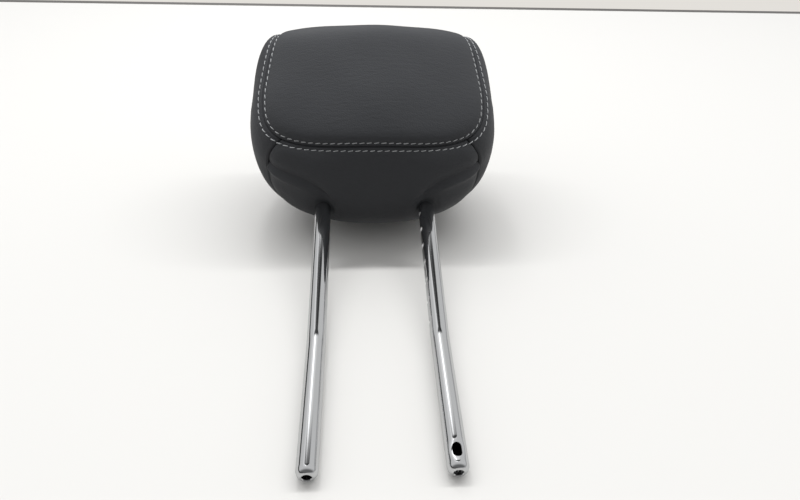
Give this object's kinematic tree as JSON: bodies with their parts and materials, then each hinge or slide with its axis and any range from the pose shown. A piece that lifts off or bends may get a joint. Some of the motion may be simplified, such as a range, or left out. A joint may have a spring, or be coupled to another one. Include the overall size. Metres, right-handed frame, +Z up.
{
  "type": "car headrest",
  "caption": "Stitched dark leather car headrest cushion on two chromed posts made from one bent tube.",
  "frame": {"origin": "midway between the two posts, at the foot of the straight notched run, where the lower run bends away", "axes": "+Z up along the notched run of the posts towards the cushion, -Y towards the cushion's face, +X towards the notched post"},
  "size_m": [0.2242, 0.1565, 0.4241],
  "materials": {
    "chromed_tube": "polished",
    "cover_leather": "satin",
    "cushion_foam": "matte",
    "carrier_plastic": "matte",
    "screw_steel": "satin"
  },
  "bodies": {
    "root": {"post_tube": "chromed_tube", "carrier_front": "carrier_plastic", "carrier_rear": "carrier_plastic", "carrier_screw_1": "screw_steel", "carrier_screw_2": "screw_steel", "carrier_screw_3": "screw_steel", "carrier_screw_4": "screw_steel", "foam_core": "cushion_foam", "closing_strip_lower": "carrier_plastic", "closing_strip_upper": "carrier_plastic", "face_panel": "cover_leather", "border_band": "cover_leather", "underside_panel": "cover_leather", "back_panel": "cover_leather"}
  },
  "joints": []
}
